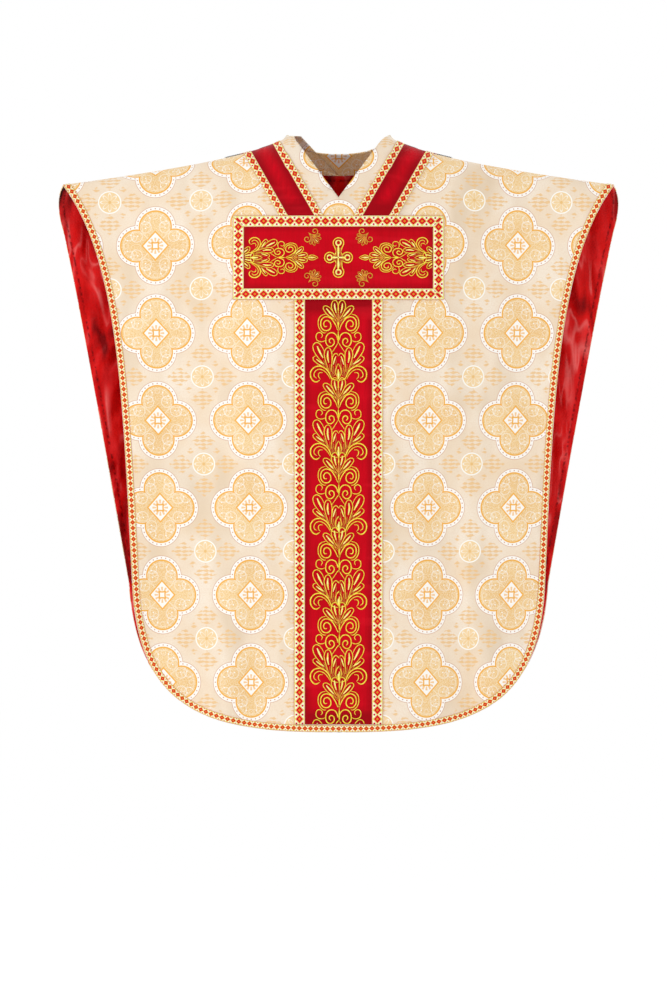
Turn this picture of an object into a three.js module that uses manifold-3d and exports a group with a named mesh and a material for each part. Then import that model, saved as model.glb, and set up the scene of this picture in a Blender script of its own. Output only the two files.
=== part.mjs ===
// A Gothic chasuble: the sleeveless outer vestment of a priest. A front and a back panel of
// figured damask meet at the shoulder seam. Each panel is lined in satin, bound at the neck by
// a facing and trimmed with braid, and carries a Y-shaped orphrey: satin bands edged with braid,
// with raised goldwork on them.
//
// Millimetres, +Z up. The wearer looks along -Y, so left, the wearer's own, is +X. The origin is
// the middle of the neck opening, at the height where the shoulder seam meets the neck.

import * as THREE from "three";
import { mergeVertices } from "three/addons/utils/BufferGeometryUtils.js";
import Module from "manifold-3d";

const wasm = await Module();
wasm.setup();

// The cut, as seen from the front
const tipReach = 580; // centre line to the arm end of the shoulder seam
const shoulderDrop = 105; // from the neck down to the arm end of the seam
const neckHalfWidth = 108;
const frontNeckDepth = 131.5; // a V
const backNeckDepth = 38; // a shallow curve
const frontLength = 1254; // from the neck down to the middle of the hem
const backLength = 1250;
const frontHemHalfWidth = 433; // where the side edge turns into the rounded hem
const backHemHalfWidth = 442;
const frontHemRise = 296; // from the bottom of the hem up to that turn
const backHemRise = 308;
const backTipBulge = 10; // how far the back panel's arm end stands past the seam

// How it hangs on the body: depths are measured from the shoulder seam
const frontDepth = 150;
const backDepth = 120;
const tipDepth = 48; // both panels, at the arm end
const chestRoll = 300; // the height in which the cloth rolls over from seam to chest
const tipRoll = 60;
const seamFlat = 16; // the cloth lies flat on the shoulder this far each side of the seam

// Cloth and trimming
const damaskThickness = 1.6;
const liningThickness = 0.8;
const trimThickness = 0.8;
const goldworkHeight = 1.2;
const layerGap = 0.3; // between two layers that are sewn to each other
const seamGap = 0.4; // between two pieces that butt edge to edge
const facingWidth = 45;
const liningInset = 2; // the lining stops short of the damask's edge
const edgeBraidWidth = 13.5;
const edgeBraidInset = 1;

// The orphrey
const barTop = 170; // below the neck
const barHeight = 176;
const barHalfWidth = 221;
const barBraidWidth = 23.6;
const columnHalfWidth = 93;
const columnBraidWidth = 23;
const strapWidth = 80;
const strapBraidWidth = 16.5;
const strapGap = 64; // between the two straps where they meet the bar
const strapLean = THREE.MathUtils.degToRad(29.9); // from upright
const satinInset = 2; // the satin stops short of its braid's outer edge

// Goldwork
const crossWidth = 60;
const crossHeight = 84;
const crossArm = 15;
const sprigLength = 31; // along its stem
const sprigWidth = 35;
const sprigOut = 52; // centre line to the middle of a sprig
const sprigMargin = 23.4; // middle of a sprig to the bar's braid
const sprigRise = barHeight / 2 - barBraidWidth - sprigMargin; // cross to the middle of a sprig
const budGap = 13; // from the cross to the bud that ends a side motif
const budLength = 22;
const budWidth = 11;
const sideMotifLength = 112; // one motif laid along the bar
const sideMotifMargin = 22.4; // above and below it, to the braid
const columnRepeat = 158; // height of one motif on the column
const columnMargin = 11; // beside the widest part of a motif, to the braid
const motifClearance = 1.5; // ends of the goldwork to the nearest braid

// Half the outline of one motif: how far down its length, and how wide as a share of its width
const motifOutline = [
  [0, 0.22],
  [0.15, 0.6],
  [0.3, 0.77],
  [0.53, 0.79],
  [0.65, 0.95],
  [0.93, 1],
  [0.995, 0.8],
];

const front = {
  name: "front",
  facing: -1,
  depth: frontDepth,
  length: frontLength,
  neckDepth: frontNeckDepth,
  neckPath: vNeck,
  sidePath: frontSide,
};
const back = {
  name: "back",
  facing: 1,
  depth: backDepth,
  length: backLength,
  neckDepth: backNeckDepth,
  neckPath: roundNeck,
  sidePath: backSide,
};

// Each layer runs between two heights above the inner face of the damask
const damaskLayer = [0, damaskThickness];
const liningLayer = [-layerGap - liningThickness, -layerGap];
const trimBase = damaskThickness + layerGap;
const trimLayer = [trimBase, trimBase + trimThickness];
const overlayBase = trimBase + trimThickness + layerGap;
const overlayLayer = [overlayBase, overlayBase + trimThickness];
const goldworkLayer = [overlayBase, overlayBase + goldworkHeight];

const cloth = (color, roughness) =>
  new THREE.MeshStandardMaterial({ color, roughness, metalness: 0 });
const damask = cloth(0xf7e3c6, 0.6);
const liningSatin = cloth(0xb80f14, 0.35);
const orphreySatin = cloth(0xc8001c, 0.35);
const braid = cloth(0xe08a2c, 0.5);
const goldThread = new THREE.MeshStandardMaterial({
  color: 0xe8c020,
  roughness: 0.35,
  metalness: 0.4,
});

// ---------- The hang of the cloth ----------

// Height of the shoulder seam at a distance from the centre line
function seamHeight(x) {
  const along = Math.max(0, Math.abs(x) - neckHalfWidth) / (tipReach - neckHalfWidth);
  return -shoulderDrop * along ** 0.6;
}

// 0 at the body, 1 at the arm end
function towardsTip(x) {
  return THREE.MathUtils.smoothstep(Math.abs(x), neckHalfWidth / 2, 0.85 * tipReach);
}

// The cloth at one x, from the seam down: flat on the shoulder, round the roll, then hanging
function hangProfile(panel, x) {
  const rollSteps = 5;
  const hangSteps = 2;
  const bottom = -Math.max(frontLength, backLength) - 20;
  const top = seamHeight(x);
  const depth = THREE.MathUtils.lerp(panel.depth, tipDepth, towardsTip(x));
  const roll = THREE.MathUtils.lerp(chestRoll, tipRoll, towardsTip(x));
  const at = (reach, z) => new THREE.Vector3(x, panel.facing * reach, z);
  const rows = [at(seamGap / 2, top)];
  for (let step = 0; step <= rollSteps; step++) {
    const turn = (step / rollSteps) * (Math.PI / 2);
    rows.push(at(seamFlat + (depth - seamFlat) * Math.sin(turn), top - roll * (1 - Math.cos(turn))));
  }
  for (let step = 1; step <= hangSteps; step++) {
    rows.push(at(depth, THREE.MathUtils.lerp(top - roll, bottom, step / hangSteps)));
  }
  return rows;
}

// Grid columns: even across the neck, then closer near the neck than near the arm end
function gridColumns() {
  const neckSteps = 3;
  const shoulderSteps = 9;
  const reach = tipReach + 2 * backTipBulge;
  const half = [];
  for (let step = 1; step <= neckSteps; step++) {
    half.push((step / neckSteps) * neckHalfWidth);
  }
  for (let step = 1; step <= shoulderSteps; step++) {
    half.push(neckHalfWidth + (step / shoulderSteps) ** 1.5 * (reach - neckHalfWidth));
  }
  return [...half.map((x) => -x).reverse(), 0, ...half];
}

// Outward direction at each grid point. The first two rows share theirs, so that the strip
// beside the seam stays flat in every layer.
function gridNormals(panel, grid) {
  const lastColumn = grid.length - 1;
  const lastRow = grid[0].length - 1;
  return grid.map((column, i) =>
    column.map((_, j) => {
      const above = column[j <= 1 ? 0 : j - 1];
      const below = column[j <= 1 ? 1 : Math.min(j + 1, lastRow)];
      const right = grid[Math.min(i + 1, lastColumn)][j];
      const left = grid[Math.max(i - 1, 0)][j];
      const across = right.clone().sub(left);
      const down = below.clone().sub(above);
      return across.cross(down).normalize().multiplyScalar(panel.facing);
    }),
  );
}

// ---------- Solids ----------

function toManifold(geometry) {
  const bare = geometry.clone();
  bare.deleteAttribute("normal");
  bare.deleteAttribute("uv");
  const merged = mergeVertices(bare, 1e-4);
  const mesh = new wasm.Mesh({
    numProp: 3,
    vertProperties: merged.attributes.position.array,
    triVerts: Uint32Array.from(merged.index.array),
  });
  return new wasm.Manifold(mesh);
}

function toGeometry(solid) {
  const mesh = solid.getMesh();
  const geometry = new THREE.BufferGeometry();
  geometry.setAttribute("position", new THREE.BufferAttribute(mesh.vertProperties, 3));
  geometry.setIndex(new THREE.BufferAttribute(mesh.triVerts, 1));
  geometry.computeVertexNormals();
  return geometry;
}

// A closed sheet over the whole panel, between two heights above its inner face
function sheet(panel, [low, high]) {
  const grid = gridColumns().map((x) => hangProfile(panel, x));
  const normals = gridNormals(panel, grid);
  const columns = grid.length;
  const rows = grid[0].length;
  const positions = [];
  for (const height of [low, high]) {
    for (let i = 0; i < columns; i++) {
      for (let j = 0; j < rows; j++) {
        positions.push(...grid[i][j].clone().addScaledVector(normals[i][j], height));
      }
    }
  }
  const inner = (i, j) => i * rows + j;
  const outer = (i, j) => columns * rows + inner(i, j);
  const triangles = [];
  const quad = (a, b, c, d) => {
    const corners = panel.facing > 0 ? [a, b, c, d] : [d, c, b, a];
    triangles.push(corners[0], corners[1], corners[2], corners[0], corners[2], corners[3]);
  };
  for (let i = 0; i < columns - 1; i++) {
    for (let j = 0; j < rows - 1; j++) {
      quad(outer(i, j), outer(i + 1, j), outer(i + 1, j + 1), outer(i, j + 1));
      quad(inner(i, j), inner(i, j + 1), inner(i + 1, j + 1), inner(i + 1, j));
    }
    quad(inner(i, 0), inner(i + 1, 0), outer(i + 1, 0), outer(i, 0));
    quad(outer(i, rows - 1), outer(i + 1, rows - 1), inner(i + 1, rows - 1), inner(i, rows - 1));
  }
  for (let j = 0; j < rows - 1; j++) {
    quad(inner(0, j + 1), inner(0, j), outer(0, j), outer(0, j + 1));
    const last = columns - 1;
    quad(inner(last, j), inner(last, j + 1), outer(last, j + 1), outer(last, j));
  }
  const geometry = new THREE.BufferGeometry();
  geometry.setAttribute("position", new THREE.Float32BufferAttribute(positions, 3));
  geometry.setIndex(triangles);
  return toManifold(geometry);
}

// An upright outline made deep enough to cut through a whole panel
function cutter(points) {
  const depth = 4 * Math.max(frontDepth, backDepth);
  const shape = new THREE.Shape(points);
  const geometry = new THREE.ExtrudeGeometry(shape, { depth, bevelEnabled: false });
  geometry.rotateX(Math.PI / 2);
  geometry.translate(0, depth / 2, 0);
  return toManifold(geometry);
}

const sheets = new Map();

// One piece of a panel: the named layer, cut to an outline given as it looks from the front
function piece(panel, name, layer, material, points) {
  const key = `${panel.name} ${layer}`;
  if (!sheets.has(key)) {
    sheets.set(key, sheet(panel, layer));
  }
  const solid = sheets.get(key).intersect(cutter(points));
  const mesh = new THREE.Mesh(toGeometry(solid), material);
  mesh.name = `${panel.name}_${name}`;
  return mesh;
}

// ---------- Outlines, as seen from the front ----------

const point = (x, z) => new THREE.Vector2(x, z);
const mirrored = (points) => points.map((p) => point(-p.x, p.y)).reverse();
const aboveSeam = 30; // outlines that end at the seam run past it, and the sheet ends them

// Centre to shoulder
function vNeck() {
  const shoulderTurn = point(0.76 * neckHalfWidth, -0.16 * frontNeckDepth);
  const path = new THREE.Path();
  path.moveTo(0, -frontNeckDepth);
  path.lineTo(shoulderTurn.x, shoulderTurn.y);
  path.quadraticCurveTo(0.87 * neckHalfWidth, -0.03 * frontNeckDepth, neckHalfWidth, 0);
  return path.getPoints(4);
}

function roundNeck() {
  const path = new THREE.Path();
  path.moveTo(0, -backNeckDepth);
  path.quadraticCurveTo(0.8 * neckHalfWidth, -backNeckDepth, neckHalfWidth, 0);
  return path.getPoints(8);
}

// The neckline grown outwards, still from centre to shoulder
function neckLine(panel, grow) {
  const { x: run, y: fall } = point(neckHalfWidth, panel.neckDepth);
  const steep = panel === front ? Math.hypot(run, fall) / run : 1;
  const wider = (neckHalfWidth + grow) / neckHalfWidth;
  const deeper = (panel.neckDepth + grow * steep) / panel.neckDepth;
  const seamEnd = seamHeight(neckHalfWidth + grow);
  return panel.neckPath().map((p) => {
    const towardsSeam = (p.x / neckHalfWidth) ** 3;
    return point(p.x * wider, p.y * deeper + seamEnd * towardsSeam);
  });
}

// Arm end of the seam, down the side edge and round the hem to its middle
function frontSide() {
  const turn = point(frontHemHalfWidth, -frontLength + frontHemRise);
  const fall = -shoulderDrop - turn.y;
  const path = new THREE.Path();
  path.moveTo(tipReach, -shoulderDrop);
  path.bezierCurveTo(
    tipReach - 125,
    -shoulderDrop - 0.19 * fall,
    turn.x + 19,
    turn.y + 0.42 * fall,
    turn.x,
    turn.y,
  );
  hemTo(path, turn, frontLength);
  return path.getPoints(12);
}

function backSide() {
  const turn = point(backHemHalfWidth, -backLength + backHemRise);
  const shoulder = point(tipReach, -shoulderDrop - 95);
  const fall = shoulder.y - turn.y;
  const path = new THREE.Path();
  path.moveTo(tipReach, -shoulderDrop);
  path.quadraticCurveTo(tipReach + 2 * backTipBulge, -shoulderDrop - 30, shoulder.x, shoulder.y);
  path.quadraticCurveTo(tipReach - 40, shoulder.y - 0.24 * fall, turn.x, turn.y);
  hemTo(path, turn, backLength);
  return path.getPoints(8);
}

// From the end of the side edge round to the middle of the hem
function hemTo(path, turn, length) {
  const rise = turn.y + length;
  path.bezierCurveTo(
    0.96 * turn.x,
    turn.y - 0.87 * rise,
    0.62 * turn.x,
    -length - 0.007 * rise,
    0,
    -length,
  );
}

// A line moved sideways, to its right as it runs
function offset(points, distance) {
  return points.map((p, i) => {
    const before = points[Math.max(i - 1, 0)];
    const after = points[Math.min(i + 1, points.length - 1)];
    const run = after.clone().sub(before).normalize();
    return point(p.x + run.y * distance, p.y - run.x * distance);
  });
}

// The whole of one panel, from the neckline to the edge, each moved in as asked
function panelOutline(panel, neckGrow, edgeInset) {
  const neck = neckLine(panel, neckGrow);
  const edge = offset(panel.sidePath(), edgeInset);
  const half = [
    ...neck,
    point(neck.at(-1).x, aboveSeam),
    point(edge[0].x, aboveSeam),
    ...edge,
  ];
  return [...half, ...mirrored(half).slice(1, -1)];
}

function facingOutline(panel) {
  const neck = neckLine(panel, 0);
  const outer = neckLine(panel, facingWidth);
  const inside = [...neck, point(neck.at(-1).x, aboveSeam)];
  const outside = [...outer, point(outer.at(-1).x, aboveSeam)];
  return [
    ...mirrored(inside),
    ...inside.slice(1),
    ...outside.reverse(),
    ...mirrored(outside).slice(1),
  ];
}

function edgeBraidOutline(panel) {
  const edge = panel.sidePath();
  const raised = [point(edge[0].x, aboveSeam), ...edge];
  const outer = offset(raised, edgeBraidInset);
  const inner = offset(raised, edgeBraidInset + edgeBraidWidth);
  return [...outer, ...mirrored(outer).slice(1), ...mirrored(inner).reverse(), ...inner.reverse().slice(1)];
}

function rectangle(left, right, top, bottom) {
  return [point(left, top), point(right, top), point(right, bottom), point(left, bottom)];
}

// ---------- Orphrey ----------

const barBottom = barTop + barHeight;
const strapSlope = Math.tan(strapLean);
const strapSpan = strapWidth / Math.cos(strapLean); // measured level
const strapBraidSpan = strapBraidWidth / Math.cos(strapLean);

// A slanting band of a strap, between two level distances from the strap's inner edge
function strapBand(side, from, to) {
  const foot = -barTop + seamGap;
  const rise = aboveSeam - foot;
  const inner = strapGap / 2 + from;
  const outer = strapGap / 2 + to;
  return [
    point(side * inner, foot),
    point(side * outer, foot),
    point(side * (outer + rise * strapSlope), aboveSeam),
    point(side * (inner + rise * strapSlope), aboveSeam),
  ];
}

// Bottom of the column: just above the hem's braid, level with where the two meet at its sides
function columnFoot(panel) {
  const hem = offset(panel.sidePath(), edgeBraidInset + edgeBraidWidth);
  const next = hem.findIndex((p) => p.x < columnHalfWidth);
  const [outside, inside] = [hem[next - 1], hem[next]];
  const share = (columnHalfWidth - inside.x) / (outside.x - inside.x);
  return THREE.MathUtils.lerp(inside.y, outside.y, share) + seamGap;
}

function satinBands(panel) {
  const barX = barHalfWidth - satinInset;
  const columnX = columnHalfWidth - satinInset;
  const strapEdge = strapSpan - satinInset;
  const columnTop = -barBottom - seamGap;
  return [
    piece(panel, "bar_satin", trimLayer, orphreySatin, rectangle(-barX, barX, -barTop, -barBottom)),
    piece(
      panel,
      "column_satin",
      trimLayer,
      orphreySatin,
      rectangle(-columnX, columnX, columnTop, columnFoot(panel)),
    ),
    piece(panel, "strap_satin_left", trimLayer, orphreySatin, strapBand(1, satinInset, strapEdge)),
    piece(panel, "strap_satin_right", trimLayer, orphreySatin, strapBand(-1, satinInset, strapEdge)),
  ];
}

// Four braids round the bar, mitred at the corners
function barBraids(panel) {
  const x = barHalfWidth;
  const w = barBraidWidth;
  const level = (outer, inner) => [
    point(-x + seamGap, outer),
    point(x - seamGap, outer),
    point(x - w - seamGap, inner),
    point(-x + w + seamGap, inner),
  ];
  const upright = (side) => [
    point(side * x, -barTop),
    point(side * x, -barBottom),
    point(side * (x - w), -barBottom + w),
    point(side * (x - w), -barTop - w),
  ];
  return [
    piece(panel, "bar_braid_top", overlayLayer, braid, level(-barTop, -barTop - w)),
    piece(panel, "bar_braid_bottom", overlayLayer, braid, level(-barBottom, -barBottom + w)),
    piece(panel, "bar_braid_left", overlayLayer, braid, upright(1)),
    piece(panel, "bar_braid_right", overlayLayer, braid, upright(-1)),
  ];
}

function columnBraid(panel, side) {
  const inner = columnHalfWidth - columnBraidWidth;
  const edges = [side * inner, side * columnHalfWidth].sort((a, b) => a - b);
  return rectangle(...edges, -barBottom - seamGap, columnFoot(panel));
}

function longBraids(panel) {
  const pieces = [];
  for (const [side, word] of [[1, "left"], [-1, "right"]]) {
    const outerBand = strapBand(side, strapSpan - strapBraidSpan, strapSpan);
    const innerBand = strapBand(side, 0, strapBraidSpan);
    pieces.push(
      piece(panel, `column_braid_${word}`, overlayLayer, braid, columnBraid(panel, side)),
      piece(panel, `strap_outer_braid_${word}`, overlayLayer, braid, outerBand),
      piece(panel, `strap_inner_braid_${word}`, overlayLayer, braid, innerBand),
    );
  }
  return pieces;
}

// ---------- Goldwork ----------

// A cross with a round bud at the end of each arm
function crossOutline(middle) {
  const half = crossArm / 2;
  const bud = 0.75 * crossArm;
  const arms = [
    [crossWidth / 2, 0],
    [crossHeight / 2, 1],
    [crossWidth / 2, 2],
    [crossHeight / 2, 3],
  ];
  const points = [];
  for (const [reach, quarter] of arms) {
    const arm = [point(half, -half)];
    for (let step = -2; step <= 2; step++) {
      const turn = (step / 2) * (0.72 * Math.PI);
      arm.push(point(reach - bud + bud * Math.cos(turn), bud * Math.sin(turn)));
    }
    for (const p of arm) {
      p.rotateAround(point(0, 0), (quarter * Math.PI) / 2);
      points.push(point(p.x, p.y + middle));
    }
  }
  return points;
}

// A sprig that lies aslant, with its stem away from the cross
function sprigOutline(x, z, angle) {
  const sides = 10;
  const points = [];
  for (let step = 0; step < sides; step++) {
    const turn = (step / sides) * 2 * Math.PI;
    const p = point((sprigLength / 2) * Math.cos(turn), (sprigWidth / 2) * Math.sin(turn));
    p.rotateAround(point(0, 0), angle);
    points.push(point(x + p.x, z + p.y));
  }
  return points;
}

// One side of a run of motifs, as distances along the run and out from its middle line
function motifRun(start, end, repeat, halfWidth) {
  const points = [];
  for (let first = start; first < end; first += repeat) {
    for (const [along, share] of motifOutline) {
      points.push(point(first + along * repeat, halfWidth * share));
    }
  }
  const past = points.findIndex((p) => p.x >= end);
  if (past > 0) {
    const [before, after] = [points[past - 1], points[past]];
    const share = (end - before.x) / (after.x - before.x);
    points.splice(past, points.length, before.clone().lerp(after, share));
  }
  return points;
}

// A side motif of the bar: a bud next to the cross, then the motif, cut off by the braid
function sideMotifOutline(side, middle) {
  const budTip = crossWidth / 2 + budGap;
  const start = budTip + budLength;
  const end = barHalfWidth - barBraidWidth - motifClearance;
  const halfHeight = barHeight / 2 - barBraidWidth - sideMotifMargin;
  const upper = [
    point(budTip, 0.5),
    point(budTip + budLength / 2, budWidth / 2),
    point(start - 1, budWidth / 4),
    ...motifRun(start, end, sideMotifLength, halfHeight),
  ];
  const lower = upper.map((p) => point(p.x, -p.y)).reverse();
  return [...upper, ...lower].map((p) => point(side * p.x, p.y + middle));
}

// The column's motifs, one under the other
function columnGoldwork(panel) {
  const top = barBottom + motifClearance;
  const bottom = -columnFoot(panel) - motifClearance;
  const halfWidth = columnHalfWidth - columnBraidWidth - columnMargin;
  const right = motifRun(top, bottom, columnRepeat, halfWidth).map((p) => point(p.y, -p.x));
  return [...right, ...mirrored(right)];
}

function goldwork(panel) {
  const middle = -barTop - barHeight / 2;
  const pieces = [
    piece(panel, "cross_emblem", goldworkLayer, goldThread, crossOutline(middle)),
    piece(panel, "bar_scroll_left", goldworkLayer, goldThread, sideMotifOutline(1, middle)),
    piece(panel, "bar_scroll_right", goldworkLayer, goldThread, sideMotifOutline(-1, middle)),
    piece(panel, "column_goldwork", goldworkLayer, goldThread, columnGoldwork(panel)),
  ];
  for (const [side, sideWord] of [[1, "left"], [-1, "right"]]) {
    for (const [end, endWord] of [[1, "upper"], [-1, "lower"]]) {
      const outline = sprigOutline(side * sprigOut, middle + end * sprigRise, side * end * (Math.PI / 4));
      pieces.push(piece(panel, `sprig_${endWord}_${sideWord}`, goldworkLayer, goldThread, outline));
    }
  }
  return pieces;
}

// ---------- Assembly ----------

function makePanel(panel) {
  const group = new THREE.Group();
  const liningOutline = panelOutline(panel, facingWidth + seamGap, liningInset);
  group.add(
    piece(panel, "damask", damaskLayer, damask, panelOutline(panel, 0, 0)),
    piece(panel, "lining", liningLayer, liningSatin, liningOutline),
    piece(panel, "neck_facing", liningLayer, damask, facingOutline(panel)),
    piece(panel, "edge_braid", trimLayer, braid, edgeBraidOutline(panel)),
    ...satinBands(panel),
    ...barBraids(panel),
    ...longBraids(panel),
    ...goldwork(panel),
  );
  return group;
}

const chasuble = new THREE.Group();
chasuble.add(makePanel(front), makePanel(back));

export default chasuble;
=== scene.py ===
import math

import bmesh
import bpy
import numpy as np
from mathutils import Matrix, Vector
from mathutils.geometry import interpolate_bezier


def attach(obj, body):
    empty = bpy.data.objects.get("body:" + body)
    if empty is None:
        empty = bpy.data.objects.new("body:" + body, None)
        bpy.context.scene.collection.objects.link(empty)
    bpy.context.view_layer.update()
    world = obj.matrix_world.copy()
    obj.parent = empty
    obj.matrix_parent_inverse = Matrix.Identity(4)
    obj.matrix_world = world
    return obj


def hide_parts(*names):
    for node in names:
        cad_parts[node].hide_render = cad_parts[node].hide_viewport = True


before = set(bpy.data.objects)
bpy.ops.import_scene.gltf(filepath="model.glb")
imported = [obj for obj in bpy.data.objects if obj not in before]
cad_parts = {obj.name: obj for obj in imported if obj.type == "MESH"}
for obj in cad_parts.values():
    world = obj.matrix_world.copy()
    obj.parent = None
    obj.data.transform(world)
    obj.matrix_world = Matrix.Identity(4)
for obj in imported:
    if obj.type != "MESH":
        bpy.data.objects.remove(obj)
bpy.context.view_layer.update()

mm = 0.001
liningStitch = 0.010  # from the open edge to the row of stitches that holds the lining


# From 0 at start to 1 at end, held at both and eased between
def eased(value, start, end):
    share = np.clip((value - start) / (end - start), 0, 1)
    return share * share * (3 - 2 * share)


def blendOf(a, b, share):
    return a + (b - a) * share


# A Bezier curve with one or two control points between its ends
def curved(points, steps):
    first, *controls, last = [Vector((x, z, 0)) for x, z in points]
    if len(controls) == 1:
        controls = [first.lerp(controls[0], 2 / 3), last.lerp(controls[0], 2 / 3)]
    run = interpolate_bezier(first, controls[0], controls[1], last, steps)
    return [(p.x, p.y) for p in run]


def mirrored(points):
    return [(-x, z) for x, z in reversed(points)]


# The same line with a point at least every so many metres
def dense(points, spacing=0.006, closed=True):
    ends = points[1:] + points[:1] if closed else points[1:]
    out = []
    for (x0, z0), (x1, z1) in zip(points, ends):
        count = max(1, math.ceil(math.hypot(x1 - x0, z1 - z0) / spacing))
        for step in range(count):
            share = step / count
            out.append((x0 + (x1 - x0) * share, z0 + (z1 - z0) * share))
    if not closed:
        out.append(points[-1])
    return out


# A line moved sideways, to its right as it runs
def movedAside(points, distance):
    out = []
    for i, (x, z) in enumerate(points):
        before = points[max(i - 1, 0)]
        after = points[min(i + 1, len(points) - 1)]
        run = Vector((after[0] - before[0], after[1] - before[1])).normalized()
        out.append((x + run.y * distance, z - run.x * distance))
    return out


# How the cloth hangs, in metres
drape = {
    "tipReach": 0.580,  # centre line to the arm end of the shoulder seam
    "shoulderDrop": 0.105,
    "neckHalfWidth": 0.108,
    "tipDepth": 0.048,  # seam to cloth at the arm end
    "chestRoll": 0.300,  # height over which the cloth turns down from the seam
    "tipRoll": 0.060,
    "seamFlat": 0.016,
    "seamGap": 0.0001,
    "aboveSeam": 0.030,  # outlines that end at the seam run past it
    "foldEvery": 0.235,
    "smallFoldEvery": 0.112,
}

front = {
    "name": "front",
    "facing": -1,
    "depth": 0.150,
    "length": 1.254,
    "neckDepth": 0.1315,
    "hemHalfWidth": 0.433,
    "hemRise": 0.296,
    "foldDepth": 0.0115,
    "foldShift": 0.0,
}
back = {
    "name": "back",
    "facing": 1,
    "depth": 0.120,
    "length": 1.250,
    "neckDepth": 0.038,
    "hemHalfWidth": 0.442,
    "hemRise": 0.308,
    "foldDepth": 0.0105,
    "foldShift": 1.9,
}
panels = (front, back)

# Heights above the inner face of the damask, in metres, where each layer starts and ends
layers = {
    "lining": (-0.0011, -0.0003),
    "damask": (0, 0.0016),
    "trim": (0.0019, 0.0027),
    "overlay": (0.0030, 0.0038),
    "goldwork": (0.0030, 0.0042),
}


def seamHeight(x):
    neck = drape["neckHalfWidth"]
    along = np.clip(np.abs(x) - neck, 0, None) / (drape["tipReach"] - neck)
    return -drape["shoulderDrop"] * along ** 0.6


def towardsTip(x):
    return eased(np.abs(x), drape["neckHalfWidth"] / 2, 0.85 * drape["tipReach"])


# At one x: the seam's height, the cloth's depth, the height of its roll and the roll's length
def profile(panel, x):
    share = towardsTip(x)
    depth = blendOf(panel["depth"], drape["tipDepth"], share)
    roll = blendOf(drape["chestRoll"], drape["tipRoll"], share)
    reach = depth - drape["seamFlat"]
    arc = math.pi / 4 * (3 * (reach + roll) - np.sqrt((3 * reach + roll) * (reach + 3 * roll)))
    return seamHeight(x), depth, roll, arc


# Distance down the cloth from the seam, for a point as it is seen from the front
def downCloth(panel, x, z):
    top, depth, roll, arc = profile(panel, x)
    drop = top - z
    turn = np.arccos(1 - np.clip(drop / roll, 0, 1))
    rolled = drape["seamFlat"] + turn / (math.pi / 2) * arc
    flat = drape["seamFlat"] + np.minimum(drop, 0)
    down = np.where(drop > 0, rolled + np.maximum(drop - roll, 0), flat)
    return np.maximum(down, drape["seamGap"] / 2)


# Soft upright folds that grow towards the hem and die out under the orphrey
def folds(panel, x, z):
    low = 0.25 + 0.75 * eased(-z, 0.25, 1.15)
    below = eased(-z - 0.075, 0, 0.22)
    aside = 0.1 + 0.9 * eased(np.abs(x), 0.10, 0.24)
    lean = x + 0.10 * np.sign(x) * (z + 0.6) + panel["foldShift"] * 0.07
    broad = np.sin(2 * math.pi * lean / drape["foldEvery"] + panel["foldShift"])
    narrow = 0.4 * np.sin(2 * math.pi * lean / drape["smallFoldEvery"] + 1.3 + 1.8 * z)
    return panel["foldDepth"] * low * below * aside * (broad + narrow)


# Where the cloth is, for the distance across and the distance down
def onCloth(panel, x, down):
    top, depth, roll, arc = profile(panel, x)
    past = np.maximum(down - drape["seamFlat"], 0)
    turn = np.minimum(past / arc, 1) * math.pi / 2
    reach = np.minimum(down, drape["seamFlat"]) + (depth - drape["seamFlat"]) * np.sin(turn)
    z = top - roll * (1 - np.cos(turn)) - np.maximum(past - arc, 0)
    y = panel["facing"] * (reach + folds(panel, x, z))
    return np.stack([x, y, z], axis=-1)


# The same, raised off the cloth's inner face by a height
def raised(panel, x, down, height):
    step = 0.002
    across = onCloth(panel, x + step, down) - onCloth(panel, x - step, down)
    along = onCloth(panel, x, down + step) - onCloth(panel, x, down - step)
    outward = np.cross(across, along) * panel["facing"]
    outward /= np.linalg.norm(outward, axis=-1, keepdims=True)
    return onCloth(panel, x, down) + outward * height[..., None]


# Height of the woven pattern: level where the cloth hangs, true to its length over the roll
def patternHeight(panel, x, down):
    top, depth, roll, arc = profile(panel, x)
    past = down - drape["seamFlat"]
    turn = np.clip(past / arc, 0, 1) * math.pi / 2
    reach = depth - drape["seamFlat"]
    parts = 12
    length = 0
    for part in range(parts):
        angle = turn + (math.pi / 2 - turn) * (part + 0.5) / parts
        length = length + np.hypot(reach * np.cos(angle), roll * np.sin(angle))
    length = length * (math.pi / 2 - turn) / parts
    return top - roll + length - np.maximum(past - arc, 0) - np.minimum(past, 0)


def meshPoints(mesh):
    points = np.empty(len(mesh.vertices) * 3)
    mesh.vertices.foreach_get("co", points)
    return points.reshape(-1, 3)


def newMesh(name, work):
    mesh = bpy.data.meshes.new(name)
    work.to_mesh(mesh)
    work.free()
    return mesh


def newObject(name, data):
    item = bpy.data.objects.new(name, data)
    bpy.context.scene.collection.objects.link(item)
    return item


# Gives flat cloth its thickness, from where it lies up to a height. Returns all its points.
def thicken(work, top):
    wall = bmesh.ops.extrude_face_region(work, geom=work.faces[:])
    for item in wall["geom"]:
        if isinstance(item, bmesh.types.BMVert):
            item.co.z = top
    work.verts.index_update()
    return np.array([vert.co[:] for vert in work.verts])


def setMap(work, across, along):
    uv = work.loops.layers.uv.new("UVMap")
    for face in work.faces:
        for loop in face.loops:
            i = loop.vert.index
            loop[uv].uv = (across[i], along[i])


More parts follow.
